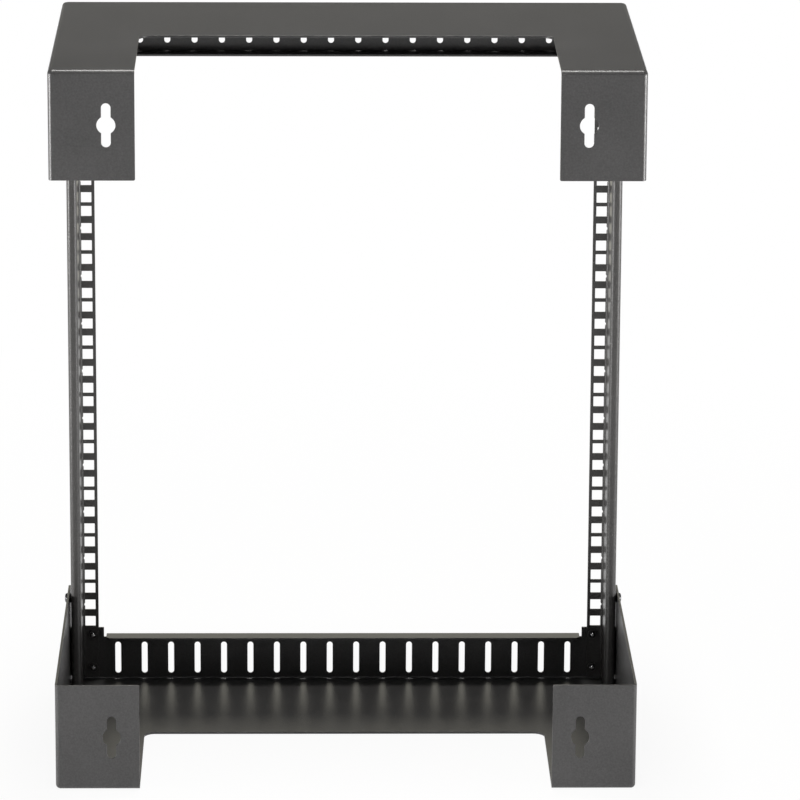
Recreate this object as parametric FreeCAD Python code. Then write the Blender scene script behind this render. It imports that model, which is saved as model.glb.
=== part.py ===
import FreeCAD, Part
import os

# A wall mount open frame rack, 12 units high. Two folded brackets, alike and facing each
# other, carry two upright rails with square holes. X runs across the rack, Y from the
# equipment side to the wall and Z up. The origin is on the ground under the rack's middle.

Vector = FreeCAD.Vector
X, Y, Z = Vector(1, 0, 0), Vector(0, 1, 0), Vector(0, 0, 1)

# Equipment bay, on the usual 19 inch hole pattern
units = 12
unit_height = 44.45
holes_per_unit = 3
hole_pitch = 15.875
first_hole = 6.35                  # centre of a unit's lowest hole, above the unit's lower line
hole_setback = 7.55                # centre line of the holes, from the rail's inner edge
hole_side = 9.5
mark_radius = 2.0                  # small round notch that marks a unit's middle hole
mark_reach = 0.8                   # how far the notch stands out of the square
bay_opening = 450.0                # clear width between the rails

# Sheet steel
sheet = 2.0
bend_inside = 2.0
seam = 0.5                         # open seam beside the front panel
relief = 0.4                       # added to a bend where a corner is relieved

# Outside of the rack
overall_depth = 304.0              # front of the panels to the wall
end_allowance = 51.8               # from the bay to the outside of either bracket

# Brackets
flange_height = 95.0
nose_radius = 10.0                 # front free corner of the side flanges
arm_width = 73.0
arm_length = 148.5                 # from the cut-out to the wall
cutout_radius = 10.0
ear_corner_radius = 1.5

# Keyholes for the wall screws
keyhole_inset = 48.8               # from the bracket's side
keyhole_height = 47.5              # above the outside of the plate
keyhole_head = 16.0
keyhole_slot_width = 8.0
keyhole_slot_length = 38.0

# Slotted front panel with its lip and its two tabs
lip_drop = 5.6                     # lip below the end of the bay
lip_depth = 18.5
lip_chamfer = 3.0
tab_reach = 4.7                    # from the rail's inner edge to the tab's, into the bay
tab_gap = 2.5                      # from the tab to the lip's end
tab_drop = 0.5                     # tab below the end of the bay
slot_pitch = 24.4
slot_margin = 6.0                  # least distance from the lip's end to a slot's middle
slot_width = 5.3
slot_base = 7.2                    # slot's lower end above the outside of the plate
slot_drop = 8.8                    # slot's upper end below the top of the lip

# Rails
rail_flange = 16.2                 # width of the flange with the holes, web included
rail_box = 7.3                     # over the web and the outer wall
rail_depth = 45.0
rail_return = 36.0                 # outer wall that lies along the bracket
rail_side_gap = 1.5                # between the outer wall and the bracket, for a nut's collar
rail_end_gap = 0.5                 # between the rail's end and the bracket's bend

# Holes for the screws that join rails and brackets
screw_hole = 5.5                   # in the brackets
nut_hole = 6.4                     # in the rails, for a clinch nut
panel_screw_setback = 5.2          # from the rail's inner edge
panel_screw_drop = 6.35            # from the end of the bay to the nearer screw
panel_screw_pitch = 31.75          # from the nearer screw to the further one
side_screw_setback = 22.5          # behind the rail's front
side_screw_drop = 8.2              # below the flange's free edge

# Worked out
tolerance = 1e-4
bend_outside = bend_inside + sheet
punch = 3 * sheet                  # length of a tool that goes right through a sheet
height = units * unit_height + 2 * end_allowance
rail_inner = bay_opening / 2
rail_web = rail_inner + rail_flange
rail_outer = rail_web + rail_box
half_width = rail_outer + rail_side_gap + sheet
wall_face = overall_depth / 2
panel_front = wall_face - overall_depth
panel_back = panel_front + sheet
panel_height = end_allowance - lip_drop
tab_inner = rail_inner - tab_reach
lip_half = tab_inner - tab_gap
tab_height = end_allowance - tab_drop
rail_back = panel_back + rail_depth
rail_foot = sheet + bend_inside + rail_end_gap
rail_top = height - rail_foot


def box(low, high):
    """A box between two opposite corners."""
    size = [b - a for a, b in zip(low, high)]
    return Part.makeBox(*size, Vector(*low))


def edges_at(shape, direction, **place):
    """Straight edges along a direction whose middle has the given coordinates."""
    found = []
    for edge in shape.Edges:
        if len(edge.Vertexes) != 2:
            continue
        start, end = (vertex.Point for vertex in edge.Vertexes)
        run, middle = end - start, (start + end) / 2
        straight = abs(edge.Length - run.Length) < tolerance
        along = run.cross(direction).Length < tolerance
        there = all(abs(getattr(middle, axis) - value) < tolerance for axis, value in place.items())
        if straight and along and there:
            found.append(edge)
    return found


def rounded_block(half, front, back, floor, radius, corners):
    """A block open to the top, with its lower edges and, if asked, its rear corners rounded."""
    block = box((-half, front, floor), (half, back, flange_height + floor))
    edges = edges_at(block, X, z=floor) + edges_at(block, Y, z=floor)
    if corners:
        edges += edges_at(block, Z, y=back)
    return block.makeFillet(radius, edges)


def both_sides(tool):
    """A tool and its mirror image across the middle of the rack."""
    return [tool, tool.mirror(Vector(0, 0, 0), X)]


def folded_tray():
    """Plate, panel, side flanges and rear wall, with the welded rear corners ground round."""
    outside = rounded_block(half_width, panel_front, wall_face, 0, bend_outside, True)
    inside = rounded_block(half_width - sheet, panel_back, wall_face - sheet, sheet, bend_inside, False)
    return outside.cut(inside)


def cutout():
    """The opening that leaves two arms of the plate and two ears of the rear wall."""
    front = wall_face - arm_length
    half = half_width - arm_width
    block = box((-half, front, -sheet), (half, wall_face + sheet, flange_height + sheet))
    return block.makeFillet(cutout_radius, edges_at(block, Z, y=front))


def panel_trim():
    """What is cut off above the front panel and beside it, to free the side flanges."""
    above_tabs = box((-half_width, panel_front, tab_height),
                     (half_width, panel_back + seam, flange_height))
    above_panel = box((-tab_inner, panel_front, panel_height - bend_outside),
                      (tab_inner, panel_back, flange_height))
    open_seam = box((half_width - sheet, panel_back, 0), (half_width, panel_back + seam, flange_height))
    corner = bend_outside + relief
    corner_relief = box((half_width - corner, panel_front, 0), (half_width, panel_front + corner, corner))
    return [above_tabs, above_panel] + both_sides(open_seam) + both_sides(corner_relief)


def lip():
    """The lip folded back from the top of the panel, with its bend."""
    bend_line = panel_height - bend_outside
    edge = panel_front + lip_depth
    centre_y = panel_front + bend_outside
    slant = 2 ** -0.5

    def on_bend(radius):
        return Vector(0, centre_y - radius * slant, bend_line + radius * slant)

    outline = Part.Wire([
        Part.Arc(Vector(0, panel_front, bend_line), on_bend(bend_outside),
                 Vector(0, centre_y, panel_height)).toShape(),
        Part.makeLine(Vector(0, centre_y, panel_height), Vector(0, edge, panel_height)),
        Part.makeLine(Vector(0, edge, panel_height), Vector(0, edge, panel_height - sheet)),
        Part.makeLine(Vector(0, edge, panel_height - sheet), Vector(0, centre_y, panel_height - sheet)),
        Part.Arc(Vector(0, centre_y, panel_height - sheet), on_bend(bend_inside),
                 Vector(0, panel_back, bend_line)).toShape(),
        Part.makeLine(Vector(0, panel_back, bend_line), Vector(0, panel_front, bend_line)),
    ])
    strip = Part.Face(outline).extrude(X * (2 * lip_half))
    strip.translate(X * -lip_half)
    return strip.makeChamfer(lip_chamfer, edges_at(strip, Z, y=edge))


def round_slot(width, length, depth):
    """A slot with round ends that stands on Z and goes through along Y, centred."""
    radius = width / 2
    middle = box((-radius, 0, -length / 2 + radius), (radius, depth, length / 2 - radius))
    ends = [Part.makeCylinder(radius, depth, Z * (end * (length / 2 - radius)), Y) for end in (-1, 1)]
    return middle.fuse(ends).removeSplitter()


def panel_slots():
    """The row of upright slots in the front panel, as many as fit."""
    slot_top = panel_height - slot_drop
    gaps = int(2 * (lip_half - slot_margin) / slot_pitch)
    slot = round_slot(slot_width, slot_top - slot_base, punch)
    slot.translate(Vector(-slot_pitch * gaps / 2, panel_front - sheet, (slot_base + slot_top) / 2))
    return [slot.translated(X * (index * slot_pitch)) for index in range(gaps + 1)]


def keyholes():
    """A round hole with a slot above and below, in each ear."""
    slot = round_slot(keyhole_slot_width, keyhole_slot_length, punch)
    head = Part.makeCylinder(keyhole_head / 2, punch, Vector(0, 0, 0), Y)
    keyhole = slot.fuse(head).removeSplitter()
    place = Vector(half_width - keyhole_inset, wall_face - 2 * sheet, keyhole_height)
    return both_sides(keyhole.translated(place))


def screw_holes(diameter):
    """Holes of one diameter at the screws of the lower right corner, through panel and flange."""
    holes = []
    for drop in (panel_screw_drop, panel_screw_drop + panel_screw_pitch):
        seat = Vector(rail_inner + panel_screw_setback, panel_front - sheet, end_allowance - drop)
        holes.append(Part.makeCylinder(diameter / 2, 2 * punch, seat, Y))
    seat = Vector(half_width - punch, panel_back + side_screw_setback, flange_height - side_screw_drop)
    return holes + [Part.makeCylinder(diameter / 2, 2 * punch, seat, X)]


def bracket():
    """The lower bracket: one folded sheet."""
    body = folded_tray().cut([cutout()] + panel_trim()).fuse(lip()).removeSplitter()
    nose = edges_at(body, X, y=panel_back + seam, z=flange_height)
    body = body.makeFillet(nose_radius, nose)
    ear_corners = edges_at(body, Y, x=half_width - arm_width, z=flange_height)
    ear_corners += edges_at(body, Y, x=arm_width - half_width, z=flange_height)
    body = body.makeFillet(ear_corner_radius, ear_corners)
    holes = [hole for right in screw_holes(screw_hole) for hole in both_sides(right)]
    return body.cut(panel_slots() + keyholes() + holes)


def rail_section():
    """The folded section of the right-hand rail, as an upright prism."""
    front, back = panel_back, rail_back
    outline = [
        (rail_inner, front), (rail_web, front), (rail_web, back - sheet),
        (rail_outer - sheet, back - sheet), (rail_outer - sheet, back - rail_return),
        (rail_outer, back - rail_return), (rail_outer, back), (rail_web - sheet, back),
        (rail_web - sheet, front + sheet), (rail_inner, front + sheet),
    ]
    outer_bends = [(rail_web, front), (rail_outer, back), (rail_web - sheet, back)]
    inner_bends = [(rail_web - sheet, front + sheet), (rail_web, back - sheet),
                   (rail_outer - sheet, back - sheet)]
    points = [Vector(x, y, rail_foot) for x, y in outline]
    prism = Part.Face(Part.makePolygon(points + points[:1])).extrude(Z * (rail_top - rail_foot))
    for radius, bends in ((bend_outside, outer_bends), (bend_inside, inner_bends)):
        bend_edges = [edge for x, y in bends for edge in edges_at(prism, Z, x=x, y=y)]
        prism = prism.makeFillet(radius, bend_edges)
    return prism


def mounting_holes():
    """The square holes of every unit; the middle one of each carries the unit mark."""
    centre = rail_inner + hole_setback
    half = hole_side / 2
    square = box((centre - half, panel_back - sheet, -half), (centre + half, panel_front + punch, half))
    mark_centre = Vector(centre + half + mark_reach - mark_radius, panel_back - sheet, 0)
    marked = square.fuse(Part.makeCylinder(mark_radius, punch, mark_centre, Y)).removeSplitter()
    holes = []
    for unit in range(units):
        for row in range(holes_per_unit):
            tool = marked if row == holes_per_unit // 2 else square
            rise = unit * unit_height + first_hole + row * hole_pitch
            holes.append(tool.translated(Z * (end_allowance + rise)))
    return holes


def rail():
    """The rail on the +X side, with nut holes at both ends."""
    lower = screw_holes(nut_hole)
    upper = [turned_over(hole.mirror(Vector(0, 0, 0), X)) for hole in lower]
    return rail_section().cut(mounting_holes() + lower + upper)


def turned_over(shape):
    """The same shape, turned half round the rack's long middle axis."""
    return shape.rotated(Vector(0, 0, height / 2), Y, 180)


def rack():
    """Every piece of the rack by name."""
    lower = bracket()
    right = rail()
    return {
        "bottom_bracket": lower,
        "top_bracket": turned_over(lower),
        "right_rail": right,
        "left_rail": turned_over(right),
    }


os.makedirs("parts", exist_ok=True)
for name, solid in rack().items():
    solid.exportStep(f"parts/{name}.step")
    print(f"{name:16s} {len(solid.Solids)} solid {solid.Volume / 1000:9.3f} cm3")
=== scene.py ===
import bpy
import bmesh
import math
from mathutils import Matrix, Vector


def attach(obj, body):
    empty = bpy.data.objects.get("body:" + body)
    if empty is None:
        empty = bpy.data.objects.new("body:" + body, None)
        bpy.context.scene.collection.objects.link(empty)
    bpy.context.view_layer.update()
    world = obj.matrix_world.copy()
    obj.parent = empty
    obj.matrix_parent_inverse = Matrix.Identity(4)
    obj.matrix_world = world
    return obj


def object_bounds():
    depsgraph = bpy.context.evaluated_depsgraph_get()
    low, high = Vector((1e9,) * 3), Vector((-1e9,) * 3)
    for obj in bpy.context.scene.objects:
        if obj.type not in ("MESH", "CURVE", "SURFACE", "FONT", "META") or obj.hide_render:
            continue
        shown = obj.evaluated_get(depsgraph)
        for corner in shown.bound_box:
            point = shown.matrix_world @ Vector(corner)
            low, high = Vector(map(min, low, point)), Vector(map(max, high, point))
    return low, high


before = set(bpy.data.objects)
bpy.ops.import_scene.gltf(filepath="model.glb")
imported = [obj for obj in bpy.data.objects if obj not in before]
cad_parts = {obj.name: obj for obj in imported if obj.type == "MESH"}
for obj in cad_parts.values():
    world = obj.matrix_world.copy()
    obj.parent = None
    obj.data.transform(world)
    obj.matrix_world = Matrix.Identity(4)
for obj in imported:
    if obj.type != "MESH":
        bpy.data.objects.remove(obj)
cadBox = [list(corner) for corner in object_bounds()]
mm = 0.001
rackHeight = cadBox[1][2]
panelFront = cadBox[0][1]
print("frame loaded, rack height", round(rackHeight, 4))


def deselectAll():
    for other in bpy.context.selected_objects:
        other.select_set(False)
    bpy.context.view_layer.objects.active = None


def pick(piece):
    deselectAll()
    piece.select_set(True)
    bpy.context.view_layer.objects.active = piece


# node helpers

def addNode(tree, kind, settings=None, inputs=None):
    node = tree.nodes.new(kind)
    for key, value in (settings or {}).items():
        setattr(node, key, value)
    for key, value in (inputs or {}).items():
        if isinstance(value, bpy.types.NodeSocket):
            tree.links.new(value, node.inputs[key])
        else:
            node.inputs[key].default_value = value
    return node


def newMaterial(name):
    material = bpy.data.materials.new(name)
    material.use_nodes = True
    tree = material.node_tree
    tree.nodes.clear()
    output = tree.nodes.new("ShaderNodeOutputMaterial")
    return material, tree, output


# grain of a sprayed or plated coat: fine bumps, with slow changes of shade and gloss over them

grainMix = {
    "fineDetail": 3.0, "fineRoughness": 0.55, "cellSmoothness": 0.6, "cellShare": -0.6,
    "cloudDetail": 4.0, "cloudRoughness": 0.6, "cloudShare": 0.6, "middle": 0.8,
}


def buildGrainGroup(mix):
    group = bpy.data.node_groups.new("coatGrain", "ShaderNodeTree")
    for way, names in (("INPUT", ("Fine Scale", "Cloud Scale", "Shade Spread", "Rough Base", "Rough Spread")),
                       ("OUTPUT", ("Shade", "Roughness", "Height"))):
        for name in names:
            group.interface.new_socket(name=name, in_out=way, socket_type="NodeSocketFloat")
    ins = group.nodes.new("NodeGroupInput")
    outs = group.nodes.new("NodeGroupOutput")
    place = addNode(group, "ShaderNodeTexCoord")
    fine = addNode(group, "ShaderNodeTexNoise", None, {
        "Vector": place.outputs["Object"], "Scale": ins.outputs["Fine Scale"],
        "Detail": mix["fineDetail"], "Roughness": mix["fineRoughness"]})
    cells = addNode(group, "ShaderNodeTexVoronoi", {"feature": "SMOOTH_F1"}, {
        "Vector": place.outputs["Object"], "Scale": ins.outputs["Fine Scale"],
        "Smoothness": mix["cellSmoothness"]})
    cloud = addNode(group, "ShaderNodeTexNoise", None, {
        "Vector": place.outputs["Object"], "Scale": ins.outputs["Cloud Scale"],
        "Detail": mix["cloudDetail"], "Roughness": mix["cloudRoughness"]})
    height = addNode(group, "ShaderNodeMath", {"operation": "MULTIPLY_ADD"}, {
        0: cells.outputs["Distance"], 1: mix["cellShare"], 2: fine.outputs["Fac"]})
    mixed = addNode(group, "ShaderNodeMath", {"operation": "MULTIPLY_ADD"}, {
        0: cloud.outputs["Fac"], 1: mix["cloudShare"], 2: fine.outputs["Fac"]})
    centred = addNode(group, "ShaderNodeMath", {"operation": "SUBTRACT"}, {
        0: mixed.outputs[0], 1: mix["middle"]})
    shade = addNode(group, "ShaderNodeMath", {"operation": "MULTIPLY_ADD"}, {
        0: centred.outputs[0], 1: ins.outputs["Shade Spread"], 2: 1.0})
    rough = addNode(group, "ShaderNodeMath", {"operation": "MULTIPLY_ADD"}, {
        0: centred.outputs[0], 1: ins.outputs["Rough Spread"], 2: ins.outputs["Rough Base"]})
    group.links.new(shade.outputs[0], outs.inputs["Shade"])
    group.links.new(rough.outputs[0], outs.inputs["Roughness"])
    group.links.new(height.outputs[0], outs.inputs["Height"])
    return group


grainGroup = buildGrainGroup(grainMix)


def coatedMetal(name, look):
    material, tree, output = newMaterial(name)
    grain = addNode(tree, "ShaderNodeGroup", {"node_tree": grainGroup}, {
        "Fine Scale": look["grainScale"], "Cloud Scale": look["cloudScale"],
        "Shade Spread": look["shadeSpread"],
        "Rough Base": look["roughness"], "Rough Spread": look["roughSpread"]})
    colour = addNode(tree, "ShaderNodeVectorMath", {"operation": "SCALE"}, {
        0: look["colour"], "Scale": grain.outputs["Shade"]})
    bump = addNode(tree, "ShaderNodeBump", None, {
        "Height": grain.outputs["Height"], "Strength": look["bumpStrength"],
        "Distance": look["bumpHeight"]})
    shader = addNode(tree, "ShaderNodeBsdfPrincipled", None, {
        "Base Color": colour.outputs[0], "Roughness": grain.outputs["Roughness"],
        "Normal": bump.outputs[0], "Metallic": look["metallic"], "IOR": look["ior"]})
    tree.links.new(shader.outputs[0], output.inputs["Surface"])
    return material


# powder coat on the brackets and rails

bracketCoatLook = {
    "colour": (0.054, 0.0532, 0.0535), "shadeSpread": 1.0, "cloudScale": 14.0,
    "roughness": 0.33, "roughSpread": 0.12, "metallic": 0.0, "ior": 1.5,
    "grainScale": 620.0, "bumpStrength": 0.5, "bumpHeight": 0.00013,
}
railCoatLook = dict(bracketCoatLook, colour=(0.052, 0.0508, 0.0495))
softEdge = {"weld": 0.000001, "flatAngle": 0.02, "width": 0.0003, "segments": 2, "angle": 0.6}

coats = {
    "bracket": coatedMetal("bracketCoat", bracketCoatLook),
    "rail": coatedMetal("railCoat", railCoatLook),
}
for nodeName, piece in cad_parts.items():
    coat = coats["rail"] if "rail" in nodeName else coats["bracket"]
    for materialSlot in piece.material_slots:
        materialSlot.material = coat
    weld = piece.modifiers.new("joinFaces", "WELD")
    weld.merge_threshold = softEdge["weld"]
    flat = piece.modifiers.new("mergeFlat", "DECIMATE")
    flat.decimate_type = "DISSOLVE"
    flat.angle_limit = softEdge["flatAngle"]
    edge = piece.modifiers.new("coatedEdge", "BEVEL")
    edge.width = softEdge["width"]
    edge.segments = softEdge["segments"]
    edge.limit_method = "ANGLE"
    edge.angle_limit = softEdge["angle"]
    edge.use_clamp_overlap = False
    edge.loop_slide = False
    even = piece.modifiers.new("evenShade", "WEIGHTED_NORMAL")
    even.keep_sharp = False
print("powder coat on", len(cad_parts), "sheet metal pieces")


# screws and nuts

flatStep = 0.0001 * mm   # a flat step of a round piece rises by this much


def growRings(name, rings, sides):
    # a round piece along Z, from the first ring to the last, each ring (z, radius)
    deselectAll()
    startZ, startRadius = rings[0]
    bpy.ops.mesh.primitive_circle_add(vertices=sides, radius=startRadius, fill_type="NGON",
                                      location=(0, 0, startZ))
    piece = bpy.context.object
    piece.name = name
    piece.data.name = name
    bpy.ops.object.transform_apply(location=True, rotation=True, scale=True)
    bpy.ops.object.mode_set(mode="EDIT")
    bpy.ops.mesh.select_mode(type="FACE")
    bpy.ops.mesh.select_all(action="SELECT")
    lastZ, lastRadius = startZ, startRadius
    for z, radius in rings[1:]:
        bpy.ops.mesh.extrude_region_move(TRANSFORM_OT_translate={"value": (0, 0, z - lastZ)})
        share = radius / lastRadius
        bpy.ops.transform.resize(value=(share, share, 1))
        lastZ, lastRadius = z, radius
    bpy.ops.mesh.select_all(action="SELECT")
    bpy.ops.mesh.normals_make_consistent(inside=False)
    bpy.ops.object.mode_set(mode="OBJECT")
    return piece


def cutWith(piece, cutter):
    pick(piece)
    cut = piece.modifiers.new("cut", "BOOLEAN")
    cut.operation = "DIFFERENCE"
    cut.solver = "EXACT"
    cut.object = cutter
    bpy.ops.object.modifier_apply(modifier=cut.name)
    deselectAll()
    cutter.select_set(True)
    bpy.ops.object.delete()


def seat(piece, name, place, direction, body="root"):
    # a copy whose Z points along direction, with its place in its mesh
    copyPiece = piece.copy()
    copyPiece.data = piece.data.copy()
    copyPiece.name = name
    copyPiece.data.name = name
    bpy.context.scene.collection.objects.link(copyPiece)
    turn = Vector(direction).to_track_quat("Z", "Y").to_matrix().to_4x4()
    copyPiece.data.transform(Matrix.Translation(Vector(place)) @ turn)
    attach(copyPiece, body)
    return copyPiece


# tipDome holds rises above the tip with shares of its radius, and threadTurn shares of the pitch
screwSize = {
    "shankRadius": 2.45 * mm, "rootRadius": 2.1 * mm, "pitch": 0.8 * mm, "length": 8.0 * mm,
    "threadTurn": {"crestStart": 0.35, "crestEnd": 0.5, "rootStart": 0.85}, "threadEnd": 0.9 * mm,
    "tipDrop": 0.55 * mm, "tipRadius": 1.6 * mm, "cutEnd": 0.42 * mm,
    "tipDome": ((0.0, 0.2), (0.06 * mm, 0.55), (0.2 * mm, 0.82), (0.4 * mm, 1.0)),
    "headRadius": 4.5 * mm, "headHeight": 2.9 * mm, "headRim": 1.0 * mm, "headEdge": 0.15 * mm,
    "domeSteps": 7, "domePower": 0.62, "domeTop": 0.12,
    "recessSpan": 4.8 * mm, "recessWidth": 1.05 * mm, "recessDepth": 1.7 * mm,
    "recessTaper": 0.42, "recessRise": 0.3 * mm, "sides": 36, "smoothAngle": 0.7,
}
facesDown = -0.9   # normals with a Z below this belong to a lower face


def buildScrew(size):
    thread = size["threadTurn"]
    tip = -size["length"]
    rings = [(tip + rise, size["tipRadius"] * share) for rise, share in size["tipDome"]]
    z = tip + size["tipDrop"]
    rings.append((z, size["rootRadius"]))
    while z < -size["threadEnd"]:
        rings.append((z + thread["crestStart"] * size["pitch"], size["shankRadius"]))
        rings.append((z + thread["crestEnd"] * size["pitch"], size["shankRadius"]))
        rings.append((z + thread["rootStart"] * size["pitch"], size["rootRadius"]))
        z += size["pitch"]
        rings.append((z, size["rootRadius"]))
    rings += [(0, size["rootRadius"]), (flatStep, size["headRadius"] - size["headEdge"]),
              (size["headEdge"], size["headRadius"]), (size["headRim"], size["headRadius"])]
    for step in range(1, size["domeSteps"]):
        angle = step / size["domeSteps"] * math.pi / 2
        rings.append((size["headRim"] + (size["headHeight"] - size["headRim"]) * math.sin(angle),
                      size["headRadius"] * math.cos(angle) ** size["domePower"]))
    rings.append((size["headHeight"], size["headRadius"] * size["domeTop"]))
    screw = growRings("screwPattern", rings, size["sides"])
    top = size["headHeight"] + size["recessRise"]
    depth = size["recessDepth"] + size["recessRise"]
    for turn in (0, math.pi / 2):   # the two arms of the cross recess
        deselectAll()
        bpy.ops.mesh.primitive_cube_add(size=1, location=(0, 0, top - depth / 2), rotation=(0, 0, turn),
                                        scale=(size["recessSpan"], size["recessWidth"], depth))
        arm = bpy.context.object
        bpy.ops.object.transform_apply(location=True, rotation=True, scale=True)
        bpy.ops.object.mode_set(mode="EDIT")
        mesh = bmesh.from_edit_mesh(arm.data)
        for face in mesh.faces:
            face.select_set(face.normal.z < facesDown)
        bmesh.update_edit_mesh(arm.data)
        bpy.ops.transform.resize(value=(size["recessTaper"], size["recessTaper"], 1))
        bpy.ops.object.mode_set(mode="OBJECT")
        cutWith(screw, arm)
    return screw


nutSize = {
    "shankRadius": 3.17 * mm, "shank": 1.4 * mm, "radius": 4.35 * mm, "height": 2.0 * mm,
    "chamfer": 0.4 * mm, "bore": 2.55 * mm, "boreChamfer": 0.45 * mm, "collar": 1.4 * mm,
    "sides": 40, "smoothAngle": 0.6,
}


def buildNut(size):
    rings = [
        (-size["shank"], size["shankRadius"]),
        (-flatStep, size["shankRadius"]),
        (0, size["radius"]),
        (size["height"] - size["chamfer"], size["radius"]),
        (size["height"], size["radius"] - size["chamfer"]),
        (size["height"] + flatStep, size["bore"] + size["boreChamfer"]),
        (size["height"] - size["boreChamfer"], size["bore"]),
        (0, size["bore"]),
    ]
    return growRings("nutPattern", rings, size["sides"])


def buildCollar(size):
    # the collar of a side nut, in the gap between rail and flange
    soft = size["chamfer"] / 2
    rings = [(0, size["radius"] - soft), (soft, size["radius"]), (size["collar"], size["radius"])]
    return growRings("collarPattern", rings, size["sides"])


blackZincLook = {
    "colour": (0.11, 0.11, 0.115), "shadeSpread": 0.3, "cloudScale": 300.0,
    "roughness": 0.24, "roughSpread": 0.12, "metallic": 1.0, "ior": 1.5,
    "grainScale": 3000.0, "bumpStrength": 0.12, "bumpHeight": 0.00003,
}
blackZinc = coatedMetal("blackZinc", blackZincLook)

# the cut end of a screw is brighter than its plated head
cutSteelLook = {
    "colour": (0.85, 0.85, 0.84), "shadeSpread": 0.2, "cloudScale": 300.0,
    "roughness": 0.2, "roughSpread": 0.08, "metallic": 1.0, "ior": 1.5,
    "grainScale": 3000.0, "bumpStrength": 0.1, "bumpHeight": 0.00003,
}
cutSteel = coatedMetal("cutSteel", cutSteelLook)

screwPattern = buildScrew(screwSize)
nutPattern = buildNut(nutSize)
collarPattern = buildCollar(nutSize)
patterns = (
    (screwPattern, screwSize, (blackZinc, cutSteel)),
    (nutPattern, nutSize, (coats["rail"],)),
    (collarPattern, nutSize, (coats["rail"],)),
)
for pattern, size, materials in patterns:
    for material in materials:
        pattern.data.materials.append(material)
    pick(pattern)
    bpy.ops.object.shade_smooth_by_angle(angle=size["smoothAngle"])
for face in screwPattern.data.polygons:
    if face.center.z < -screwSize["length"] + screwSize["cutEnd"]:
        face.material_index = 1

screwPlaces = {
    "panelX": 230.2 * mm, "panelZ": {"outer": 13.7 * mm, "inner": 45.45 * mm},
    "sideX": cadBox[1][0], "sideY": panelFront + 24.5 * mm, "sideZ": 86.8 * mm,
    "railBack": panelFront + 4.0 * mm, "railWallInside": 246.5 * mm, "railWallOutside": 248.5 * mm,
}


def atLevel(level, z):
    # the upper bracket is the lower one turned over
    return z if level == "bottom" else rackHeight - z


made = 0
for side, way in (("right", 1), ("left", -1)):
    outward, inward = (way, 0, 0), (-way, 0, 0)
    for level in ("bottom", "top"):
        for place, rise in screwPlaces["panelZ"].items():
            name = f"{level}_{side}_{place}"
            x, z = way * screwPlaces["panelX"], atLevel(level, rise)
            seat(screwPattern, f"screw_{name}", (x, panelFront, z), (0, -1, 0))
            seat(nutPattern, f"nut_{name}", (x, screwPlaces["railBack"], z), (0, 1, 0))
            made += 2
        y, z = screwPlaces["sideY"], atLevel(level, screwPlaces["sideZ"])
        sidePieces = (
            (screwPattern, f"screw_{level}_{side}_side", "sideX", outward),
            (nutPattern, f"nut_{level}_{side}_side", "railWallInside", inward),
            (collarPattern, f"collar_{level}_{side}", "railWallOutside", outward),
        )
        for pattern, name, place, direction in sidePieces:
            seat(pattern, name, (way * screwPlaces[place], y, z), direction)
            made += 1
deselectAll()
for pattern, size, materials in patterns:
    pattern.select_set(True)
bpy.ops.object.delete()
print("screws and nuts:", made)


# studio

studio = {
    "floorSize": 40.0, "floorDrop": 0.0002, "paperShade": 0.9,
    "nearGlow": 0.93, "clearFrom": 0.4, "clearTo": 1.4,
    "cardPlace": (0.0, -1.6, 0.29), "cardSize": (8.0, 0.42), "cardTint": (0.96, 0.93, 0.8),
    "backdrop": 0.1, "room": 0.01, "roomTurn": 0.25,
    "ceiling": 0.06, "ceilingWay": (0.0, 0.5, 0.87), "ceilingFrom": 0.55, "ceilingTo": 0.85,
    "aim": (0.0, 0.0, 0.32),
}
lamps = {
    "overhead": {"place": (0.0, -0.1, 3.8), "size": (0.4, 1.8), "power": 128.0, "tint": (1.0, 0.985, 0.96)},
    "leftBox": {"place": (2.8, 1.1, 0.17), "size": (1.8, 0.32), "power": 88.0, "tint": (1.0, 0.985, 0.98)},
    "rightBox": {"place": (-2.8, 1.1, 0.17), "size": (1.8, 0.32), "power": 80.0, "tint": (1.0, 0.985, 0.98)},
    "frontBox": {"place": (0.2, 4.0, 3.0), "size": (0.35, 0.35), "power": 9.0, "tint": (1.0, 0.985, 0.98)},
}


def whiteForView(tree):
    # 1 for rays that show the background: straight on, in a gloss or through glass
    rays = addNode(tree, "ShaderNodeLightPath")
    seen = addNode(tree, "ShaderNodeMath", {"operation": "MAXIMUM"}, {
        0: rays.outputs["Is Camera Ray"], 1: rays.outputs["Is Glossy Ray"]})
    return addNode(tree, "ShaderNodeMath", {"operation": "MAXIMUM"}, {
        0: seen.outputs[0], 1: rays.outputs["Is Transmission Ray"]}).outputs[0]


bpy.ops.mesh.primitive_plane_add(size=studio["floorSize"], location=(0, 0, -studio["floorDrop"]))
floor = bpy.context.object
floor.name = "studioFloor"
floorMaterial, tree, output = newMaterial("floorPaper")
paperColour = (studio["paperShade"], studio["paperShade"], studio["paperShade"], 1)
paper = addNode(tree, "ShaderNodeBsdfDiffuse", None, {"Color": paperColour})
glow = addNode(tree, "ShaderNodeEmission", None, {"Color": (1, 1, 1, 1), "Strength": 1.0})
place = addNode(tree, "ShaderNodeTexCoord")
away = addNode(tree, "ShaderNodeVectorMath", {"operation": "LENGTH"}, {0: place.outputs["Object"]})
clear = addNode(tree, "ShaderNodeMapRange", {"interpolation_type": "SMOOTHSTEP"}, {
    "Value": away.outputs["Value"], "From Min": studio["clearFrom"], "From Max": studio["clearTo"],
    "To Min": studio["nearGlow"], "To Max": 1.0})
share = addNode(tree, "ShaderNodeMath", {"operation": "MULTIPLY"}, {
    0: whiteForView(tree), 1: clear.outputs[0]})
mixed = addNode(tree, "ShaderNodeMixShader", None, {
    "Fac": share.outputs[0], 1: paper.outputs[0], 2: glow.outputs[0]})
tree.links.new(mixed.outputs[0], output.inputs["Surface"])
floor.data.materials.append(floorMaterial)

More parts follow.
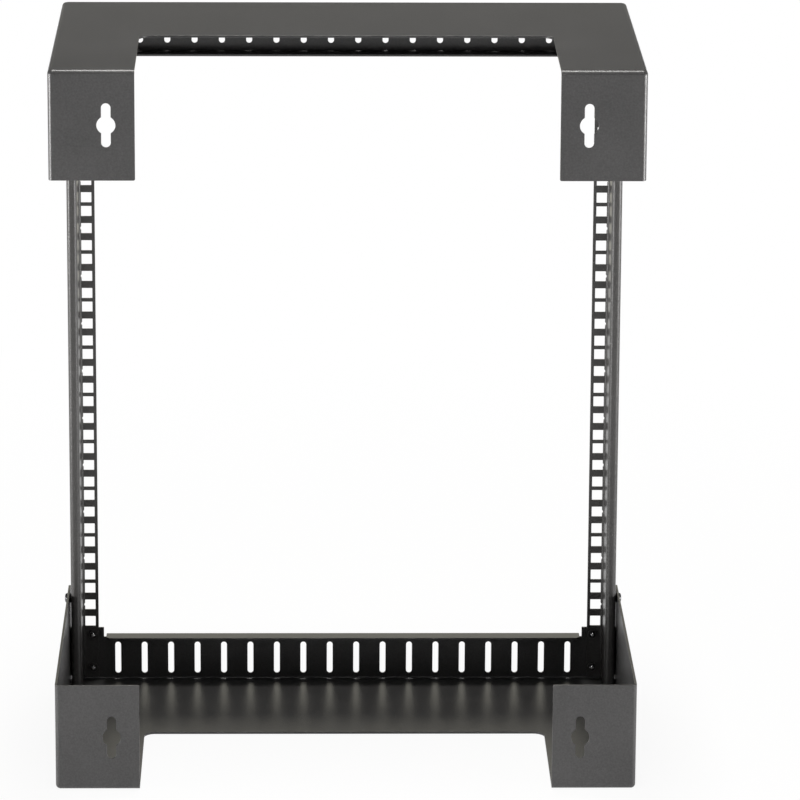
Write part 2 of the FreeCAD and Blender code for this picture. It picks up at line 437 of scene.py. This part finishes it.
# a low pale card before the panels, seen only in the gloss of the lip and the plates
bpy.ops.mesh.primitive_plane_add(size=1, location=studio["cardPlace"], rotation=(math.pi / 2, 0, 0),
                                 scale=(*studio["cardSize"], 1))
card = bpy.context.object
card.name = "lowCard"
cardMaterial, tree, output = newMaterial("cardGlow")
glow = addNode(tree, "ShaderNodeEmission", None, {"Color": (*studio["cardTint"], 1), "Strength": 1.0})
clearCard = addNode(tree, "ShaderNodeBsdfTransparent")
rays = addNode(tree, "ShaderNodeLightPath")
mixed = addNode(tree, "ShaderNodeMixShader", None, {
    "Fac": rays.outputs["Is Glossy Ray"], 1: clearCard.outputs[0], 2: glow.outputs[0]})
tree.links.new(mixed.outputs[0], output.inputs["Surface"])
card.data.materials.append(cardMaterial)

for name, box in lamps.items():
    lampData = bpy.data.lights.new(name, "AREA")
    lampData.shape = "RECTANGLE"
    lampData.size, lampData.size_y = box["size"]
    lampData.energy = box["power"]
    lampData.color = box["tint"]
    lamp = bpy.data.objects.new(name, lampData)
    bpy.context.scene.collection.objects.link(lamp)
    lamp.location = box["place"]
    lamp.rotation_mode = "QUATERNION"
    aim = Vector(studio["aim"]) - Vector(box["place"])
    lamp.rotation_quaternion = aim.to_track_quat("-Z", "Y")

world = bpy.data.worlds.new("studioWorld")
bpy.context.scene.world = world
world.use_nodes = True
tree = world.node_tree
tree.nodes.clear()
output = tree.nodes.new("ShaderNodeOutputWorld")
# the backdrop's side of the sky is brighter than the room's, and a view sees both as white
place = addNode(tree, "ShaderNodeTexCoord")
split = addNode(tree, "ShaderNodeSeparateXYZ", None, {0: place.outputs["Generated"]})
level = addNode(tree, "ShaderNodeMapRange", {"interpolation_type": "SMOOTHSTEP"}, {
    "Value": split.outputs["Y"], "From Min": -studio["roomTurn"], "From Max": studio["roomTurn"],
    "To Min": studio["backdrop"], "To Max": studio["room"]})
upward = addNode(tree, "ShaderNodeVectorMath", {"operation": "DOT_PRODUCT"}, {
    0: place.outputs["Generated"], 1: studio["ceilingWay"]})
ceiling = addNode(tree, "ShaderNodeMapRange", {"interpolation_type": "SMOOTHSTEP"}, {
    "Value": upward.outputs["Value"], "From Min": studio["ceilingFrom"],
    "From Max": studio["ceilingTo"], "To Min": 0.0, "To Max": studio["ceiling"]})
light = addNode(tree, "ShaderNodeMath", {"operation": "ADD"}, {0: level.outputs[0], 1: ceiling.outputs[0]})
rays = addNode(tree, "ShaderNodeLightPath")
shown = addNode(tree, "ShaderNodeMath", {"operation": "MAXIMUM"}, {
    0: light.outputs[0], 1: rays.outputs["Is Camera Ray"]})
sky = addNode(tree, "ShaderNodeBackground", None, {"Color": (1, 1, 1, 1), "Strength": shown.outputs[0]})
tree.links.new(sky.outputs[0], output.inputs["Surface"])
print("studio ready")


# camera

view = {
    "place": (0.0447, 4.4725, 1.5272), "forward": (-0.02005, -0.96468, -0.26266),
    "right": (-0.99980, 0.01929, 0.00548), "lens": 236.5, "sensor": 36.0, "clip": (0.05, 100),
}
forward = Vector(view["forward"]).normalized()
right = Vector(view["right"])
right = (right - right.dot(forward) * forward).normalized()
up = right.cross(forward)
cameraData = bpy.data.cameras.new("photoCamera")
cameraData.sensor_width = view["sensor"]
cameraData.lens = view["lens"]
cameraData.clip_start, cameraData.clip_end = view["clip"]
camera = bpy.data.objects.new("photoCamera", cameraData)
bpy.context.scene.collection.objects.link(camera)
turn = Matrix((right, up, -forward)).transposed()
camera.matrix_world = Matrix.Translation(view["place"]) @ turn.to_4x4()
bpy.context.scene.camera = camera
bpy.context.scene.view_settings.view_transform = "Standard"
print("camera ready")
